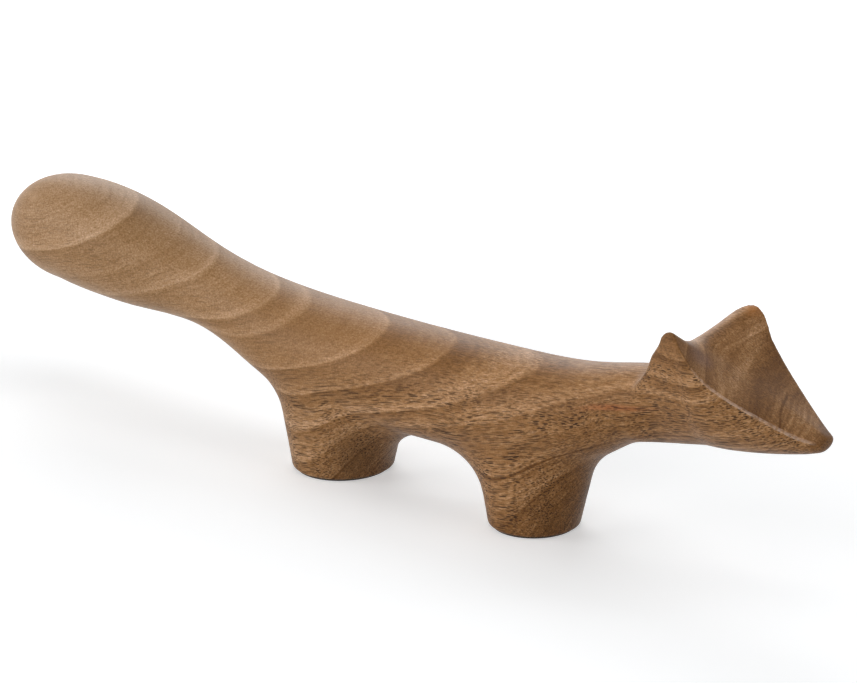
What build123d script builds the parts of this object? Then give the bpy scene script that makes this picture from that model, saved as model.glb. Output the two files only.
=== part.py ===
# A stylised walnut fox: one carving on two flared feet, with a thin pad under each foot.
# Millimetres, +Z up, nose towards +X, origin on the table under the middle of the fox.

import os
from build123d import *

# Lengths along the fox
tail_length = 115.8
leg_spacing = 63.5
head_reach = 88.0

# Tail: a bulb with a domed end, which narrows to its root
dome_length = 21.0
bulb_diameter = 28.5
bulb_height = 44.2
swell_run = 14.0
swell_diameter = 29.2
swell_drop = 1.1
root_setback = 42.0
root_top = 47.7
root_underside = 27.0

# Body and neck
haunch_setback = 19.9
haunch_underside = 18.8
back_height = 43.3
belly_height = 15.1
withers_drop = 5.5
chest_reach = 21.0
chest_drop = 7.6
neck_reach = 35.5
neck_height = 39.9
neck_diameter = 19.4
nape_slope = 0.217
throat_slope = 0.315
trunk_sections = 16

# Legs: the left and the right one merge into a single flared foot
rear_foot_length = 25.2
rear_foot_width = 27.1
front_foot_length = 22.6
front_foot_width = 23.5
leg_flare = 9.7
rear_clearance = 0.6
front_clearance = 0.9
blend_share = 0.28
foot_round = 0.8

# Pads under the feet
pad_thickness = 0.5
pad_inset = 0.3

# Head: widths and heights of the ridge that runs from the neck over the ears to the nose
face_length = 32.8
nape_spread = 22.3
nape_lift = 3.7
nape_drop = 0.8
poll_spread = 28.1
poll_lift = 9.3
poll_rise = 3.1
ear_spread = 31.8
ear_lift = 7.3
ear_rise = 8.7
brow_spread = 28.9
brow_rise = 1.1
cheek_spread = 21.9
cheek_drop = 0.6
muzzle_spread = 14.5
muzzle_drop = 1.4
nose_spread = 5.9
nose_lift = 5.8
nose_depth = 3.5
nose_drop = 0.7
nose_round = 1.4
throat_lift = 3.8
chin_drop = 0.9

# Places along X that follow from the lengths
overall_length = tail_length + leg_spacing + head_reach
tail_tip = -overall_length / 2
bulb_end = tail_tip + dome_length
swell_height = bulb_height - swell_drop
rear_leg = tail_tip + tail_length
front_leg = rear_leg + leg_spacing
neck_place = front_leg + neck_reach
nose_tip = front_leg + head_reach
ear_place = nose_tip - face_length
neck_top = neck_height + neck_diameter / 2
neck_underside = neck_height - neck_diameter / 2
throat_height = neck_underside + throat_lift
withers_height = neck_top - withers_drop
chest_underside = neck_underside - chest_drop
chest_middle = (belly_height + chest_underside) / 2
nose_underside = throat_height + nose_lift
nose_crown = nose_underside + nose_depth
ear_crown = neck_top + ear_lift
leg_blend = blend_share * leg_spacing

# Feet: place, length and width on the table
feet = {
    "rear": (rear_leg, rear_foot_length, rear_foot_width),
    "front": (front_leg, front_foot_length, front_foot_width),
}
leg_tops = {
    "rear": (back_height, belly_height, rear_clearance),
    "front": (withers_height, chest_middle, front_clearance),
}

# Head stations behind and before the ears, on even steps: spread, crown and rise of the ridge
head_back = [
    (nape_spread, neck_top + nape_lift, -nape_drop),
    (poll_spread, neck_top + poll_lift, poll_rise),
    (ear_spread, ear_crown, ear_rise),
]
crown_fall = (ear_crown - nose_crown) / 4
head_front = [
    (ear_spread, ear_crown, ear_rise),
    (brow_spread, ear_crown - crown_fall, brow_rise),
    (cheek_spread, ear_crown - 2 * crown_fall, -cheek_drop),
    (muzzle_spread, ear_crown - 3 * crown_fall, -muzzle_drop),
    (nose_spread, nose_crown, -nose_drop),
]


def head_curves(spread, crown, rise, underside):
    """Control points of the curves round one head section: crown to ridge, ridge to underside."""
    curves = []
    ridge = crown + rise
    for half in (spread / 2, -spread / 2):
        middle = (ridge + crown) / 2
        cheek = ridge - 0.4 * (ridge - underside)
        curves.append([(0, crown), (0.15 * half, crown), (0.6 * half, middle), (half, ridge)])
        curves.append([(half, ridge), (half, cheek), (0.62 * half, underside), (0, underside)])
    return curves


# Back and underside of the trunk, seen from the side
with BuildLine(Plane.XZ) as back:
    Spline(
        (bulb_end, bulb_height + bulb_diameter / 2),
        (bulb_end + swell_run, swell_height + swell_diameter / 2),
        (rear_leg - root_setback, root_top),
        (rear_leg, back_height),
        (front_leg, withers_height),
        (neck_place, neck_top),
        tangents=((1, 0), (1, nape_slope)),
    )
with BuildLine(Plane.XZ) as underside:
    Spline(
        (bulb_end, bulb_height - bulb_diameter / 2),
        (bulb_end + swell_run, swell_height - swell_diameter / 2),
        (rear_leg - root_setback, root_underside),
        (rear_leg - haunch_setback, haunch_underside),
        ((rear_leg + front_leg) / 2, belly_height),
        (front_leg + chest_reach, chest_underside),
        (neck_place, neck_underside),
        tangents=((1, 0), (1, throat_slope)),
    )

with BuildPart() as carved_fox:
    # Trunk of round sections between the two lines
    for step in range(trunk_sections + 1):
        top = back.line @ (step / trunk_sections)
        low = underside.line @ (step / trunk_sections)
        facing = Vector(0, 1, 0).cross(top - low)
        with BuildSketch(Plane((top + low) / 2, x_dir=(0, 1, 0), z_dir=facing)):
            Circle((top - low).length / 2)
    loft()

    # Legs, each blended into the belly along its new edge
    for name, (place, length, width) in feet.items():
        high, low, clearance = leg_tops[name]
        with BuildSketch(Plane.XY.offset(pad_thickness)):
            with Locations((place, 0)):
                Ellipse(length / 2, width / 2)
        with BuildSketch(Plane.XY.offset((high + low) / 2)):
            with Locations((place, 0)):
                Ellipse(length / 2 + leg_flare, (high - low) / 2 - clearance)
        loft()
        fillet(carved_fox.edges(Select.NEW), leg_blend)
    fillet(carved_fox.edges().group_by(Axis.Z)[0], foot_round)

    # Domed end of the tail
    with BuildSketch(Plane.XZ):
        with BuildLine():
            centre = (bulb_end, bulb_height)
            dome = EllipticalCenterArc(centre, dome_length, bulb_diameter / 2, 90, arc_size=90)
            Polyline(dome @ 0, centre, dome @ 1)
        make_face()
    revolve(axis=Axis((0, 0, bulb_height), (1, 0, 0)))

    # Head from the round neck to the ears, its circle cut where the other sections have corners
    with BuildSketch(Plane.YZ.offset(neck_place)):
        with BuildLine():
            for start, size in ((45, 45), (90, 45), (135, 135), (270, 135)):
                CenterArc((0, neck_height), neck_diameter / 2, start, size)
        make_face()
    for step, station in enumerate(head_back, 1):
        share = step / len(head_back)
        low = neck_underside + share * (throat_height - neck_underside)
        with BuildSketch(Plane.YZ.offset(neck_place + share * (ear_place - neck_place))):
            with BuildLine():
                for curve in head_curves(*station, low):
                    Bezier(*curve)
            make_face()
    loft()

    # Face from the ears to the nose
    for step, station in enumerate(head_front):
        share = step / (len(head_front) - 1)
        low = throat_height + share * (nose_underside - throat_height)
        low -= 4 * chin_drop * share * (1 - share)
        with BuildSketch(Plane.YZ.offset(ear_place + share * face_length)):
            with BuildLine():
                for curve in head_curves(*station, low):
                    Bezier(*curve)
            make_face()
    loft()
    fillet(carved_fox.faces().sort_by(Axis.X)[-1].edges(), nose_round)

carved_fox.part.label = "carved_fox"
os.makedirs("parts", exist_ok=True)
export_step(carved_fox.part, "parts/carved_fox.step")
print("carved fox", carved_fox.part.is_valid, len(carved_fox.part.solids()))

# Pads, set in from the rounded edge of each foot
pad_margin = foot_round + pad_inset
for name, (place, length, width) in feet.items():
    with BuildPart() as foot_pad:
        with BuildSketch(Plane.XY):
            with Locations((place, 0)):
                Ellipse(length / 2 - pad_margin, width / 2 - pad_margin)
        extrude(amount=pad_thickness)
    foot_pad.part.label = f"{name}_foot_pad"
    export_step(foot_pad.part, f"parts/{name}_foot_pad.step")
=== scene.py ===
import math
import bmesh
import bpy
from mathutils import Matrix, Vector
from mathutils.kdtree import KDTree


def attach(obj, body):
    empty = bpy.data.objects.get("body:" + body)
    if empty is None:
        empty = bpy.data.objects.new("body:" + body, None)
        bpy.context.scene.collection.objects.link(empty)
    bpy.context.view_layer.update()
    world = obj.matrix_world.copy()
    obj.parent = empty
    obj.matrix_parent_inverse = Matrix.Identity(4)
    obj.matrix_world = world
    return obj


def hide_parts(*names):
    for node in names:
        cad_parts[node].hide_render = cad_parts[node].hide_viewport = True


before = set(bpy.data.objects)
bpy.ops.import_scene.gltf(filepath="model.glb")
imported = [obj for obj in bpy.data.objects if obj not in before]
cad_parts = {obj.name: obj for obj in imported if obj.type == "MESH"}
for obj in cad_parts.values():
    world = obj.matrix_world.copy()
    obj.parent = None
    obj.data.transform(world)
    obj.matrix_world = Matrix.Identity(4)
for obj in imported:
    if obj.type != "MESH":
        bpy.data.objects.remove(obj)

scene = bpy.context.scene
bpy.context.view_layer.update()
print("frame loaded:", sorted(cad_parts))

mmPerMetre = 1000.0
# noise and curves run from 0 to 1, and their middle stands for no change
middle = 0.5


# unit vector at an azimuth from the nose's side and an elevation, in degrees
def heading(azimuth, elevation):
    turn, rise = math.radians(azimuth), math.radians(elevation)
    return Vector((math.cos(turn) * math.cos(rise), math.sin(turn) * math.cos(rise), math.sin(rise)))


# camera at the photograph's angle, a long lens from the fox's front right
cameraView = {
    "azimuth": -49.03,
    "elevation": 18.82,
    "distance": 1.1,
    "target": (0.01096, 0.0, 0.03972),
    "lens": 185.3,
    "sensor": 36,
}


def placeCamera():
    back = heading(cameraView["azimuth"], cameraView["elevation"])
    camera = bpy.data.objects.new("camera", bpy.data.cameras.new("camera"))
    camera.data.lens = cameraView["lens"]
    camera.data.sensor_width = cameraView["sensor"]
    camera.location = Vector(cameraView["target"]) + back * cameraView["distance"]
    camera.rotation_euler = (-back).to_track_quat("-Z", "Y").to_euler()
    scene.collection.objects.link(camera)
    scene.camera = camera


placeCamera()
print("camera placed")


# one value or colour on its way through a material's nodes
class Flow:
    def __init__(self, tree, socket=None):
        self.tree = tree
        self.socket = socket

    # settings first, then the values or links of the sockets
    def node(self, kind, settings=None, sockets=None, out=0):
        made = self.tree.nodes.new(kind)
        for name, value in (settings or {}).items():
            if name == "stops":
                ramp = made.color_ramp.elements
                while len(ramp) < len(value):
                    ramp.new(middle)
                for stop, (place, colour) in zip(ramp, value):
                    stop.position = place
                    stop.color = (*colour, 1.0)
            elif name == "points":
                curve = made.mapping.curves[0].points
                while len(curve) < len(value):
                    curve.new(middle, middle)
                for point, (place, height) in zip(curve, value):
                    point.location = (place, height)
                    point.handle_type = "VECTOR"
                made.mapping.update()
            else:
                setattr(made, name, value)
        for name, value in (sockets or {}).items():
            if isinstance(value, Flow):
                self.tree.links.new(value.socket, made.inputs[name])
            else:
                made.inputs[name].default_value = value
        return Flow(self.tree, made.outputs[out] if made.outputs else None)

    def maths(self, operation, first, second=0.0, third=0.0):
        return self.node("ShaderNodeMath", {"operation": operation}, {0: first, 1: second, 2: third})

    def __add__(self, other):
        return self.maths("ADD", self, other)

    def __radd__(self, other):
        return self.maths("ADD", other, self)

    def __sub__(self, other):
        return self.maths("SUBTRACT", self, other)

    def __rsub__(self, other):
        return self.maths("SUBTRACT", other, self)

    def __mul__(self, other):
        return self.maths("MULTIPLY", self, other)

    def __rmul__(self, other):
        return self.maths("MULTIPLY", other, self)

    def __pow__(self, other):
        return self.maths("POWER", self, other)

    def limit(self, low, high, start=0.0, end=1.0, curve="SMOOTHSTEP"):
        return self.node(
            "ShaderNodeMapRange",
            {"interpolation_type": curve},
            {"Value": self, "From Min": low, "From Max": high, "To Min": start, "To Max": end},
        )

    # the Mix node's colours are its sockets 6 and 7, and its colour result is 2
    def blend(self, share, first, second, mode="MIX"):
        return self.node(
            "ShaderNodeMix",
            {"data_type": "RGBA", "blend_type": mode},
            {0: share, 6: first, 7: second},
            out=2,
        )

    def noise(self, vector, scale, detail, rough):
        sockets = {"Vector": vector, "Scale": scale, "Detail": detail, "Roughness": rough}
        return self.node("ShaderNodeTexNoise", {}, sockets) - middle

    def vector(self, operation, first, second=(0, 0, 0), out=0):
        return self.node("ShaderNodeVectorMath", {"operation": operation}, {0: first, 1: second}, out)

    def parts(self, *axes):
        return [self.node("ShaderNodeSeparateXYZ", {}, {0: self}, axis) for axis in axes]


def newMaterial(name):
    material = bpy.data.materials.new(name)
    material.use_nodes = True
    material.node_tree.nodes.clear()
    return material, Flow(material.node_tree)


# walnut: growth rings are circles round a slanting pith line below and behind the fox, in mm
# a ring is its radius, the tone inside it, at its edge and after its edge, and the way to settle
# a ring's step is its lead before the edge, half its edge and the share of its tone that stays
# a tone is the logarithm of how much lighter the wood is than its base colour
# a dark line is a ring's radius, the stretch along the fox where it shows, and its tone
# a face band is its place along the fox, its slant, its half width, its tone and how far left it goes
# a blush is a place on the wood, its size and the colour that it leans to
# a fade is where it starts and ends, and then the values there if they aren't 0 and 1
# a noise is its scale, detail and roughness, after its pull along the grain where it follows that
# pores are their pull along and across the grain, their reach and their weakest strength
walnut = {
    "pith": (25.26, -20.27),
    "pithSlope": (-0.175, 0.231),
    "headFade": (84.0, 102.0),
    "headShift": -1.8,
    "headSkew": -0.25,
    "rings": [
        (32.2, -0.30, -0.40, -0.04, 2.0),
        (38.4, -0.10, -0.20, 0.02, 2.0),
        (45.2, -0.08, -0.14, 0.02, 1.5),
        (51.0, -0.06, -0.18, 0.34, 2.5),
        (56.2, -0.14, -0.28, 0.42, 2.8),
        (62.9, -0.20, -0.30, 0.36, 1.0),
        (68.9, -0.14, -0.22, 0.36, 1.2),
        (76.8, -0.08, -0.16, 0.34, 1.2),
        (80.4, -0.12, -0.20, 0.36, 2.0),
        (89.8, -0.06, -0.12, 0.28, 2.0),
        (97.2, -0.02, -0.05, 0.10, 1.6),
        (105.4, -0.12, -0.16, 0.36, 3.5),
    ],
    "ringReach": (15.0, 125.0),
    "ringStep": (1.2, 0.2, 0.25),
    "innerTone": -0.25,
    "outerTone": 0.10,
    "darkLines": [(38.4, 30.0, 80.0, -0.8), (45.2, -40.0, 6.0, -0.7)],
    "darkLineEnd": 12.0,
    "darkLineFade": (0.45, 0.10),
    "grainSlope": (-0.07, 0.22),
    "grainWaves": [(0.045, 1.0, 0.5), (0.052, 1.0, 0.5)],
    "grainNoises": {
        "wander": (0.4, 0.10, 3.0, 0.5),
        "streaks": (0.05, 0.8, 3.0, 0.65),
        "flecks": (0.20, 2.4, 2.0, 0.6),
        "clouds": (0.3, 0.10, 2.0, 0.5),
        "crowd": (0.25, 0.16, 2.0, 0.5),
    },
    "linePull": (0.03, 0.06),
    "lineNoise": (1.5, 3.0, 0.6),
    "speckleNoise": (2.2, 2.0, 0.7),
    "coarseFade": (74.0, 55.0, 0.3, 1.0),
    "innerFade": (46.0, 38.0),
    "depths": {
        "grainWaves": 3.0,
        "wander": 1.4,
        "rings": 1.1,
        "lines": 0.45,
        "coarseLines": 0.4,
        "innerLines": 0.9,
        "clouds": 0.4,
        "speckle": 1.9,
        "streaks": 0.9,
        "flecks": 1.7,
        "smallPores": 0.7,
        "poreColour": 0.95,
        "wornEdgeHighlightColour": 0.5,
        "wearCoat": 0.5,
        "fleckHeight": 0.3,
        "streakRoughness": 0.15,
        "poreRoughness": 0.2,
    },
    "tailFade": (-20.0, -70.0, 0.0, 0.12),
    "tailTint": (0.97, 1.08, 1.24),
    "tailTintFade": (25.0, -90.0),
    "neckFades": [(45.0, 70.0), (108.0, 101.0, 0.0, -0.13)],
    "shoulderFade": (-15.0, 20.0),
    "shoulderRings": (58.0, 62.0, 0.0, -0.16),
    "endGrainTone": -0.10,
    "faceFade": (97.0, 103.0),
    "faceTilt": (0.35, 0.65),
    # the up-facing face: painted shade, as it gets less light than the cheek, partly darker heartwood
    "faceHeartAndShadeTone": -0.17,
    "faceBands": [
        (107.8, 0.38, 2.8, 0.40, 20.0),
        (115.0, 0.45, 6.0, -0.42, 20.0),
        (120.6, 0.61, 0.55, -0.80, 3.0),
        (126.5, 0.40, 4.5, 0.26, 20.0),
    ],
    "bandWander": 2.0,
    "bandCore": 0.2,
    "bandEnd": 4.0,
    "noseSlant": 0.1,
    "noseFade": (130.8, 131.6, 0.0, -0.14),
    "ridgeFade": (6.0, 0.5, 0.0, -0.19),
    "ridgeEarEnd": (1.0, 7.0),
    "ridgeNoseEnd": 4.0,
    "ridgeCurve": 100.0,
    # the ridge's worn edge, with a painted highlight in its colour and a real coat on it
    "wornEdgeHighlightFade": (0.70, 0.42),
    "wornEdgeHighlightNoise": (1.1, 3.0, 0.5),
    "wornEdgeHighlightPatches": (-0.15, 0.10, 0.3, 1.0),
    "wornEdgeHighlightColour": (0.46, 0.31, 0.22),
    "blushes": {
        "neckStreak": ((78.0, -10.0, 40.6), (18.0, 4.0, 1.2), (0.36, 0.115, 0.040)),
        # painted shade and a painted grey reflection on the near ear's inner side by the saddle
        "innerEarShadeAndReflection": ((102.5, -9.0, 58.0), (5.0, 6.0, 6.0), (0.17, 0.098, 0.080)),
        "farEar": ((101.0, 15.0, 65.0), (4.0, 4.0, 5.0), (0.42, 0.165, 0.045)),
        # painted shade on the rear leg's inner side under the body, partly darker heartwood
        "rearLegShadeAndHeart": ((-7.0, -7.0, 8.0), (11.0, 8.0, 12.0), (0.13, 0.064, 0.025)),
        "tailSpot": ((-119.0, -10.0, 54.0), (2.2, 2.2, 2.2), (0.48, 0.30, 0.17)),
    },
    "blushFade": (1.0, 0.2, 0.0, 0.55),
    "colour": (0.303, 0.1510, 0.0580),
    "colourReach": (0.85, 1.06, 1.5),
    "toneRange": (-1.2, 0.9),
    "toneSteps": 6,
    "largePores": (0.10, 2.2, 0.40, 0.4),
    "smallPores": (0.28, 3.4, 0.44, 0.1),
    "poreCore": 0.75,
    "poreFull": 0.6,
    "poreCrowd": (-0.14, 0.10, 0.6, 1.0),
    "poreTilt": (0.10, 0.75, 1.0, 0.45),
    "poreColour": (0.022, 0.010, 0.005),
    "roughness": 0.46,
}


def ringCurve():
    low, high = walnut["ringReach"]
    lead, half, rest = walnut["ringStep"]
    points = [(0.0, middle + walnut["innerTone"])]
    for radius, inside, edge, after, settle in walnut["rings"]:
        steps = ((-lead, inside), (-half, edge), (half, after), (half + settle, after * rest))
        for step, tone in steps:
            points.append(((radius + step - low) / (high - low), middle + tone))
    points.append((1.0, middle + walnut["outerTone"]))
    return points


# the wood reddens as it darkens and turns straw coloured as it lightens
def toneStops():
    low, high = walnut["toneRange"]
    stops = []
    for step in range(walnut["toneSteps"]):
        share = step / (walnut["toneSteps"] - 1)
        tone = low + share * (high - low)
        colour = [c * math.exp(k * tone) for c, k in zip(walnut["colour"], walnut["colourReach"])]
        stops.append((share, colour))
    return stops


# distance from the ridge round the face, and the stretch of the ridge that is worn and carries a painted
# highlight
def ridgeDistance(mat, x, y, z, ridgeLine):
    start, end = ridgeLine[0][0], ridgeLine[-1][0]
    onward = x.limit(start, end, curve="LINEAR")
    ridgePlace = []
    for axis in (1, 2):
        scale = walnut["ridgeCurve"]
        points = [((point[0] - start) / (end - start), point[axis] / scale) for point in ridgeLine]
        ridgePlace.append(mat.node("ShaderNodeFloatCurve", {"points": points}, {"Value": onward}) * scale)
    outward = mat.maths("ABSOLUTE", y) - ridgePlace[0]
    upward = z - ridgePlace[1]
    fromRidge = (outward * outward + upward * upward) ** 0.5
    earStart, earEnd = walnut["ridgeEarEnd"]
    worn = x.limit(start + earStart, start + earEnd) * x.limit(end, end - walnut["ridgeNoseEnd"])
    return fromRidge, worn


def walnutMaterial(ridgeLine):
    material, mat = newMaterial("walnut")
    depths = walnut["depths"]
    objectPlace = mat.node("ShaderNodeTexCoord", out="Object")
    place = mat.vector("MULTIPLY", objectPlace, (mmPerMetre, mmPerMetre, mmPerMetre))
    x, y, z = place.parts(0, 1, 2)

    # the grain runs along the fox, rises to the nose with the pith line and waves a little
    slopeY, slopeZ = walnut["grainSlope"]
    waveY, waveZ = (mat.noise(place, *wave) * depths["grainWaves"] for wave in walnut["grainWaves"])
    grainY = y - x * slopeY + waveY
    grainZ = z - x * slopeZ + waveZ

    def stretch(along, across=1.0):
        pulled = {0: x * along, 1: grainY * across, 2: grainZ * across}
        return mat.node("ShaderNodeCombineXYZ", {}, pulled)

    def grainNoise(name):
        along, *values = walnut["grainNoises"][name]
        return mat.noise(stretch(along), *values)

    # distance from the pith, with the slow wander of a real trunk
    across = y - x * walnut["pithSlope"][0] - walnut["pith"][0]
    above = z - x * walnut["pithSlope"][1] - walnut["pith"][1]
    wander = grainNoise("wander")
    radius = (across * across + above * above) ** 0.5 + wander * depths["wander"]
    radius = radius + x.limit(*walnut["headFade"]) * (y * walnut["headSkew"] + walnut["headShift"])
    reach = radius.limit(*walnut["ringReach"], curve="LINEAR")
    ringTone = mat.node("ShaderNodeFloatCurve", {"points": ringCurve()}, {"Value": reach}) - middle

    # fine lines in the rings, streaks along the grain, flecks and slow clouds
    pullX, pullY = walnut["linePull"]
    lineSpace = mat.node("ShaderNodeCombineXYZ", {}, {0: radius, 1: x * pullX, 2: y * pullY})
    lines = mat.noise(lineSpace, *walnut["lineNoise"])
    streaks, flecks, clouds = (grainNoise(name) for name in ("streaks", "flecks", "clouds"))
    speckle = mat.noise(place, *walnut["speckleNoise"])
    coarse = radius.limit(*walnut["coarseFade"])
    inner = radius.limit(*walnut["innerFade"])
    lineDepth = coarse * depths["coarseLines"] + inner * depths["innerLines"] + depths["lines"]
    tone = ringTone * depths["rings"] + clouds * depths["clouds"] + lines * lineDepth
    tone = tone + speckle * (depths["speckle"] - coarse)
    tone = tone + (streaks * depths["streaks"] + flecks * depths["flecks"]) * coarse
    lineEnd = walnut["darkLineEnd"]
    for ring, start, end, dark in walnut["darkLines"]:
        away = mat.maths("ABSOLUTE", radius - ring)
        shown = x.limit(start, start + lineEnd) * x.limit(end, end - lineEnd)
        tone = tone + away.limit(*walnut["darkLineFade"], 0.0, dark) * shown

    # darker where the fibres are cut across and at neck and shoulder, lighter to the sapwood at the tail
    facingX, facingUp = mat.node("ShaderNodeTexCoord", out="Normal").parts(0, 2)
    neckStart, neckEnd = walnut["neckFades"]
    tone = tone + x.limit(*walnut["tailFade"]) + facingX * facingX * walnut["endGrainTone"]
    tone = tone + x.limit(*neckStart) * x.limit(*neckEnd)
    tone = tone + x.limit(*walnut["shoulderFade"]) * radius.limit(*walnut["shoulderRings"])

    # the face: its own bands, a dark nose, a dark band along the ridge, and painted shade with darker
    # heartwood over the up-facing face
    onFace = x.limit(*walnut["faceFade"]) * facingUp.limit(*walnut["faceTilt"])
    tone = tone + (x + y * walnut["noseSlant"]).limit(*walnut["noseFade"])
    face = walnut["faceHeartAndShadeTone"]
    for spot, slant, width, dark, left in walnut["faceBands"]:
        away = mat.maths("ABSOLUTE", x + y * slant + wander * walnut["bandWander"] - spot)
        band = away.limit(width, width * walnut["bandCore"], 0.0, dark)
        face = band * y.limit(left + walnut["bandEnd"], left) + face
    fromRidge, worn = ridgeDistance(mat, x, y, z, ridgeLine)
    face = face + fromRidge.limit(*walnut["ridgeFade"]) * worn
    tone = tone + face * onFace
    share = tone.limit(*walnut["toneRange"], curve="LINEAR")
    colour = mat.node("ShaderNodeValToRGB", {"stops": toneStops()}, {0: share})

    colour = mat.blend(x.limit(*walnut["tailTintFade"]), colour, (*walnut["tailTint"], 1), "MULTIPLY")
    grainPlace = stretch(1.0)
    for (cx, cy, cz), size, tint in walnut["blushes"].values():
        offset = mat.vector("SUBTRACT", grainPlace, (cx, cy - cx * slopeY, cz - cx * slopeZ))
        scaled = mat.vector("MULTIPLY", offset, tuple(1 / s for s in size))
        away = mat.vector("LENGTH", scaled, out="Value")
        colour = mat.blend(away.limit(*walnut["blushFade"]), colour, (*tint, 1))

    # pores are thin tubes along the grain: dashes on the flank, dots where they are cut across
    def pores(along, across, reach, weakest):
        cell = {"Vector": stretch(along, across), "Scale": 1.0}
        strength = mat.node("ShaderNodeTexVoronoi", {}, cell, out="Color").parts(0)[0]
        distance = mat.node("ShaderNodeTexVoronoi", {}, cell, out="Distance")
        tube = distance.limit(reach, reach * walnut["poreCore"])
        return tube * strength.limit(0.0, walnut["poreFull"], weakest, 1.0)

    large = pores(*walnut["largePores"]) * grainNoise("crowd").limit(*walnut["poreCrowd"])
    small = pores(*walnut["smallPores"]) * depths["smallPores"]
    poreMask = mat.maths("MAXIMUM", large, small) * coarse * facingUp.limit(*walnut["poreTilt"])
    colour = mat.blend(poreMask * depths["poreColour"], colour, (*walnut["poreColour"], 1))
    # painted highlight: the worn ridge is lightened in colour where a glint runs along it; the coat on it
    # is the real burnish
    patches = mat.noise(place, *walnut["wornEdgeHighlightNoise"]).limit(*walnut["wornEdgeHighlightPatches"])
    wornEdgeAndHighlight = fromRidge.limit(*walnut["wornEdgeHighlightFade"]) * worn * patches
    colour = mat.blend(wornEdgeAndHighlight * depths["wornEdgeHighlightColour"], colour, (*walnut["wornEdgeHighlightColour"], 1))

    height = flecks * depths["fleckHeight"] - poreMask
    normal = mat.node("ShaderNodeBump", {}, {"Strength": 0.4, "Distance": 0.0001, "Height": height})
    rough = walnut["roughness"] + streaks * depths["streakRoughness"] + poreMask * depths["poreRoughness"]
    surface = mat.node(
        "ShaderNodeBsdfPrincipled",
        {},
        {
            "Base Color": colour,
            "Roughness": rough,
            "Normal": normal,
            "Specular IOR Level": 0.12,
            "Sheen Weight": 0.12,
            "Sheen Roughness": 0.35,
            "Coat Weight": wornEdgeAndHighlight * depths["wearCoat"],
            "Coat Roughness": 0.25,
        },
    )
    mat.node("ShaderNodeOutputMaterial", {}, {"Surface": surface})
    return material


# sanded carving: the solid's mesh with its ridges rounded and its creases rubbed down by hand
# an ear shift is its place, its reach and how far the wood is moved there
# a seam is its place along the fox, how far the rubbing reaches and its share of all passes
# a spot is its place on the left and the right, its reach along, across and up, and its share
sanding = {
    "headStart": 0.08,
    "faceStart": 0.1015,
    "ridgeAngle": math.radians(20),
    "ridgeWidth": 0.0004,
    "voxel": 0.00035,
    "triangles": 190000,
    "earShifts": [
        ((0.1000, -0.0159, 0.0650), 0.0085, (-0.0012, 0, 0.0005)),
        ((0.1025, 0.0159, 0.0625), 0.0065, (0.0010, 0, -0.0002)),
        ((0.1020, 0.0159, 0.0655), 0.0025, (-0.0002, 0, -0.0005)),
    ],
    "passes": 120,
    "passDepth": 0.5,
    "levels": 40,
    "allOver": 0.05,
    "seams": [(-0.1127, 0.0090, 1.0), (0.1009, 0.0090, 1.0), (0.0812, 0.0070, 0.5)],
    "spots": {
        "saddle": ((0.0990, 0.0, 0.0580), (0.0110, 0.0120, 0.0110), 1.0),
        "nape": ((0.0885, 0.0110, 0.0520), (0.0100, 0.0080, 0.0090), 1.0),
        "neckTop": ((0.0830, 0.0, 0.0480), (0.0150, 0.0150, 0.0150), 0.6),
    },
    "keptEar": ((0.1009, 0.0159, 0.0640), (0.0100, 0.0080, 0.0100), 1.0),
    "ridgeReach": 0.0035,
    "ridgeLeast": 0.025,
    "tips": {
        "earTip": ((0.1009, 0.0159, 0.0655), (0.0035, 0.0035, 0.0040), 0.25),
        "earBack": ((0.0940, 0.0140, 0.0590), (0.0055, 0.0055, 0.0060), 1.0),
        "nose": ((0.1335, 0.0, 0.0395), (0.0060, 0.0060, 0.0050), 0.9),
    },
}


def falloff(away):
    return max(0.0, 1 - away) ** 2


def rubShare(place, ridgeTree):
    share = 0.0
    place = Vector((place.x, abs(place.y), place.z))

    def spotShare(centre, reach, most):
        return most * falloff(sum(((a - b) / r) ** 2 for a, b, r in zip(place, centre, reach)))

    for x, reach, most in sanding["seams"]:
        share = max(share, most * falloff(((place.x - x) / reach) ** 2))
    for spot in sanding["spots"].values():
        share = max(share, spotShare(*spot))
    share = max(share * (1 - spotShare(*sanding["keptEar"])), sanding["allOver"])
    # the ridges of the face stay crisp
    if place.x > sanding["faceStart"] - sanding["ridgeReach"]:
        share *= min(1.0, ridgeTree.find(place)[2] / sanding["ridgeReach"])
    return max(share, sanding["ridgeLeast"], *(spotShare(*tip) for tip in sanding["tips"].values()))


# the solid's mesh with bevelled ridges, and the points of the ridge round the face
def bevelledCarving():
    bm = bmesh.new()
    bm.from_mesh(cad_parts["carved_fox"].data)
    bmesh.ops.remove_doubles(bm, verts=bm.verts, dist=1e-6)
    head = [edge for edge in bm.edges if min(vert.co.x for vert in edge.verts) > sanding["headStart"]]
    ridges = [edge for edge in head if edge.calc_face_angle(0) > sanding["ridgeAngle"]]
    ridgePoints = [vert.co.copy() for edge in ridges for vert in edge.verts]
    ridgePoints = [point for point in ridgePoints if point.x > sanding["faceStart"]]
    bmesh.ops.bevel(
        bm, geom=ridges, offset=sanding["ridgeWidth"], offset_type="OFFSET",
        affect="EDGES", segments=3, profile=0.5, material=-1,
    )
    carving = bpy.data.meshes.new("carving")
    bm.to_mesh(carving)
    bm.free()
    return carving, ridgePoints


def nearestRidge(ridgePoints):
    ridgeTree = KDTree(len(ridgePoints))
    for index, point in enumerate(ridgePoints):
        ridgeTree.insert((point.x, abs(point.y), point.z), index)
    ridgeTree.balance()
    return ridgeTree


# the left half of the ridge from ear to nose, in mm
def leftRidge(ridgePoints):
    byPlace = {round(point.x, 4): tuple(point * mmPerMetre) for point in ridgePoints if point.y > 0}
    return [byPlace[place] for place in sorted(byPlace)]


# the carved ears aren't quite alike
def bendEars(mesh):
    shifts = [(Vector(centre), reach, Vector(shift)) for centre, reach, shift in sanding["earShifts"]]
    for vert in mesh.vertices:
        for centre, reach, shift in shifts:
            away = (vert.co - centre).length / reach
            if away < 1:
                vert.co += falloff(away ** 2) * shift


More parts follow.
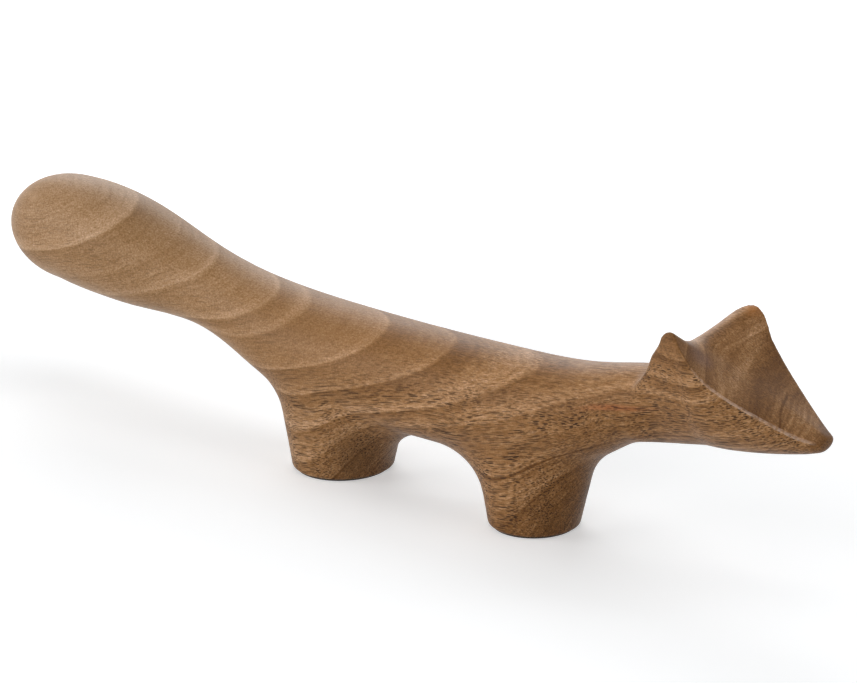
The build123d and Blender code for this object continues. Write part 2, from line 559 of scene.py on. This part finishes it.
def sandedFox(carving, ridgeTree):
    fox = bpy.data.objects.new("sandedFox", carving)
    scene.collection.objects.link(fox)

    def applyModifiers():
        made = bpy.data.meshes.new_from_object(fox.evaluated_get(bpy.context.evaluated_depsgraph_get()))
        fox.modifiers.clear()
        fox.data = made

    evenMesh = fox.modifiers.new("evenMesh", "REMESH")
    evenMesh.mode = "VOXEL"
    evenMesh.voxel_size = sanding["voxel"]
    applyModifiers()
    bendEars(fox.data)
    levels = {}
    for vert in fox.data.vertices:
        share = rubShare(vert.co, ridgeTree)
        levels.setdefault(round(share * sanding["levels"]), []).append(vert.index)
    rub = fox.vertex_groups.new(name="rub")
    for level, verts in levels.items():
        rub.add(verts, level / sanding["levels"], "REPLACE")
    rubbed = fox.modifiers.new("rubbed", "SMOOTH")
    rubbed.factor = sanding["passDepth"]
    rubbed.iterations = sanding["passes"]
    rubbed.vertex_group = "rub"
    thinned = fox.modifiers.new("thinned", "DECIMATE")
    thinned.ratio = min(1.0, sanding["triangles"] / (2 * len(fox.data.polygons)))
    applyModifiers()
    fox.vertex_groups.clear()
    fox.data.shade_smooth()
    print("sanded fox:", len(fox.data.polygons), "faces")
    return fox


carving, ridgePoints = bevelledCarving()
fox = sandedFox(carving, nearestRidge(ridgePoints))
fox.data.materials.clear()
fox.data.materials.append(walnutMaterial(leftRidge(ridgePoints)))
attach(fox, "root")
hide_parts("carved_fox")
print("walnut on")


# felt pads under the feet
felt = {
    "colour": (0.022, 0.016, 0.012),
    "fibre": (0.060, 0.045, 0.035),
    "fibreNoise": (2600.0, 4.0, 0.7),
    "fibreFade": (-0.15, 0.20),
}


def feltMaterial():
    material, mat = newMaterial("felt")
    objectPlace = mat.node("ShaderNodeTexCoord", out="Object")
    fibres = mat.noise(objectPlace, *felt["fibreNoise"])
    colour = mat.blend(fibres.limit(*felt["fibreFade"]), (*felt["colour"], 1), (*felt["fibre"], 1))
    normal = mat.node("ShaderNodeBump", {}, {"Strength": 0.5, "Distance": 0.0001, "Height": fibres})
    surface = mat.node(
        "ShaderNodeBsdfPrincipled",
        {},
        {"Base Color": colour, "Roughness": 0.95, "Normal": normal, "Sheen Weight": 0.2},
    )
    mat.node("ShaderNodeOutputMaterial", {}, {"Surface": surface})
    return material


feltPads = feltMaterial()
for name in ("rear_foot_pad", "front_foot_pad"):
    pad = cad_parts[name]
    pad.data.materials.clear()
    pad.data.materials.append(feltPads)
print("felt on")


# white sweep and soft round lamps; a lamp is its azimuth, its elevation and its power
# the paper's glow rises to white away from the fox, measured in an oval along it
studio = {
    "floor": (0.785, 0.800, 0.815),
    "floorSize": 4.0,
    "glowOval": (0.45, 1, 1),
    "glowFade": (0.05, 0.30, 0.42, 1.0),
    "lampSize": 1.0,
    "lampDistance": 1.3,
    "lampTarget": (0, 0, 0.03),
    "lamps": {
        "front": (15, 45, 5.0),
        "top": (0, 90, 2.9),
        "back": (135, 32, 8.0),
        "side": (225, 15, 9.6),
        "near": (295, 8, 9.2),
    },
}


# 1 for rays that show the background: seen straight, mirrored or through glass
def showsBackground(mat):
    seen = mat.node("ShaderNodeLightPath", out="Is Camera Ray")
    mirrored = mat.node("ShaderNodeLightPath", out="Is Glossy Ray")
    through = mat.node("ShaderNodeLightPath", out="Is Transmission Ray")
    return mat.maths("MAXIMUM", mat.maths("MAXIMUM", seen, mirrored), through)


def whiteFloor():
    bm = bmesh.new()
    bmesh.ops.create_grid(bm, x_segments=1, y_segments=1, size=studio["floorSize"])
    mesh = bpy.data.meshes.new("floor")
    bm.to_mesh(mesh)
    bm.free()
    floor = bpy.data.objects.new("floor", mesh)
    scene.collection.objects.link(floor)
    material, mat = newMaterial("floorWhite")
    paper = mat.node("ShaderNodeBsdfDiffuse", {}, {"Color": (*studio["floor"], 1)})
    place = mat.node("ShaderNodeTexCoord", out="Object")
    away = mat.vector("LENGTH", mat.vector("MULTIPLY", place, studio["glowOval"]), out="Value")
    strength = showsBackground(mat) * away.limit(*studio["glowFade"])
    glow = mat.node("ShaderNodeEmission", {}, {"Color": (1, 1, 1, 1), "Strength": strength})
    both = mat.node("ShaderNodeAddShader", {}, {0: paper, 1: glow})
    mat.node("ShaderNodeOutputMaterial", {}, {"Surface": both})
    mesh.materials.append(material)


def lightStudio():
    world = bpy.data.worlds.new("studio")
    world.use_nodes = True
    world.node_tree.nodes.clear()
    mat = Flow(world.node_tree)
    sky = {"Color": (1, 1, 1, 1), "Strength": showsBackground(mat)}
    mat.node("ShaderNodeOutputWorld", {}, {"Surface": mat.node("ShaderNodeBackground", {}, sky)})
    scene.world = world
    for name, (azimuth, elevation, power) in studio["lamps"].items():
        towards = heading(azimuth, elevation)
        lamp = bpy.data.lights.new(name, "AREA")
        lamp.shape = "DISK"
        lamp.size = studio["lampSize"]
        lamp.energy = power
        holder = bpy.data.objects.new(name, lamp)
        holder.location = towards * studio["lampDistance"] + Vector(studio["lampTarget"])
        holder.rotation_euler = towards.to_track_quat("Z", "Y").to_euler()
        scene.collection.objects.link(holder)


whiteFloor()
lightStudio()
scene.view_settings.view_transform = "Standard"
print("studio lit")
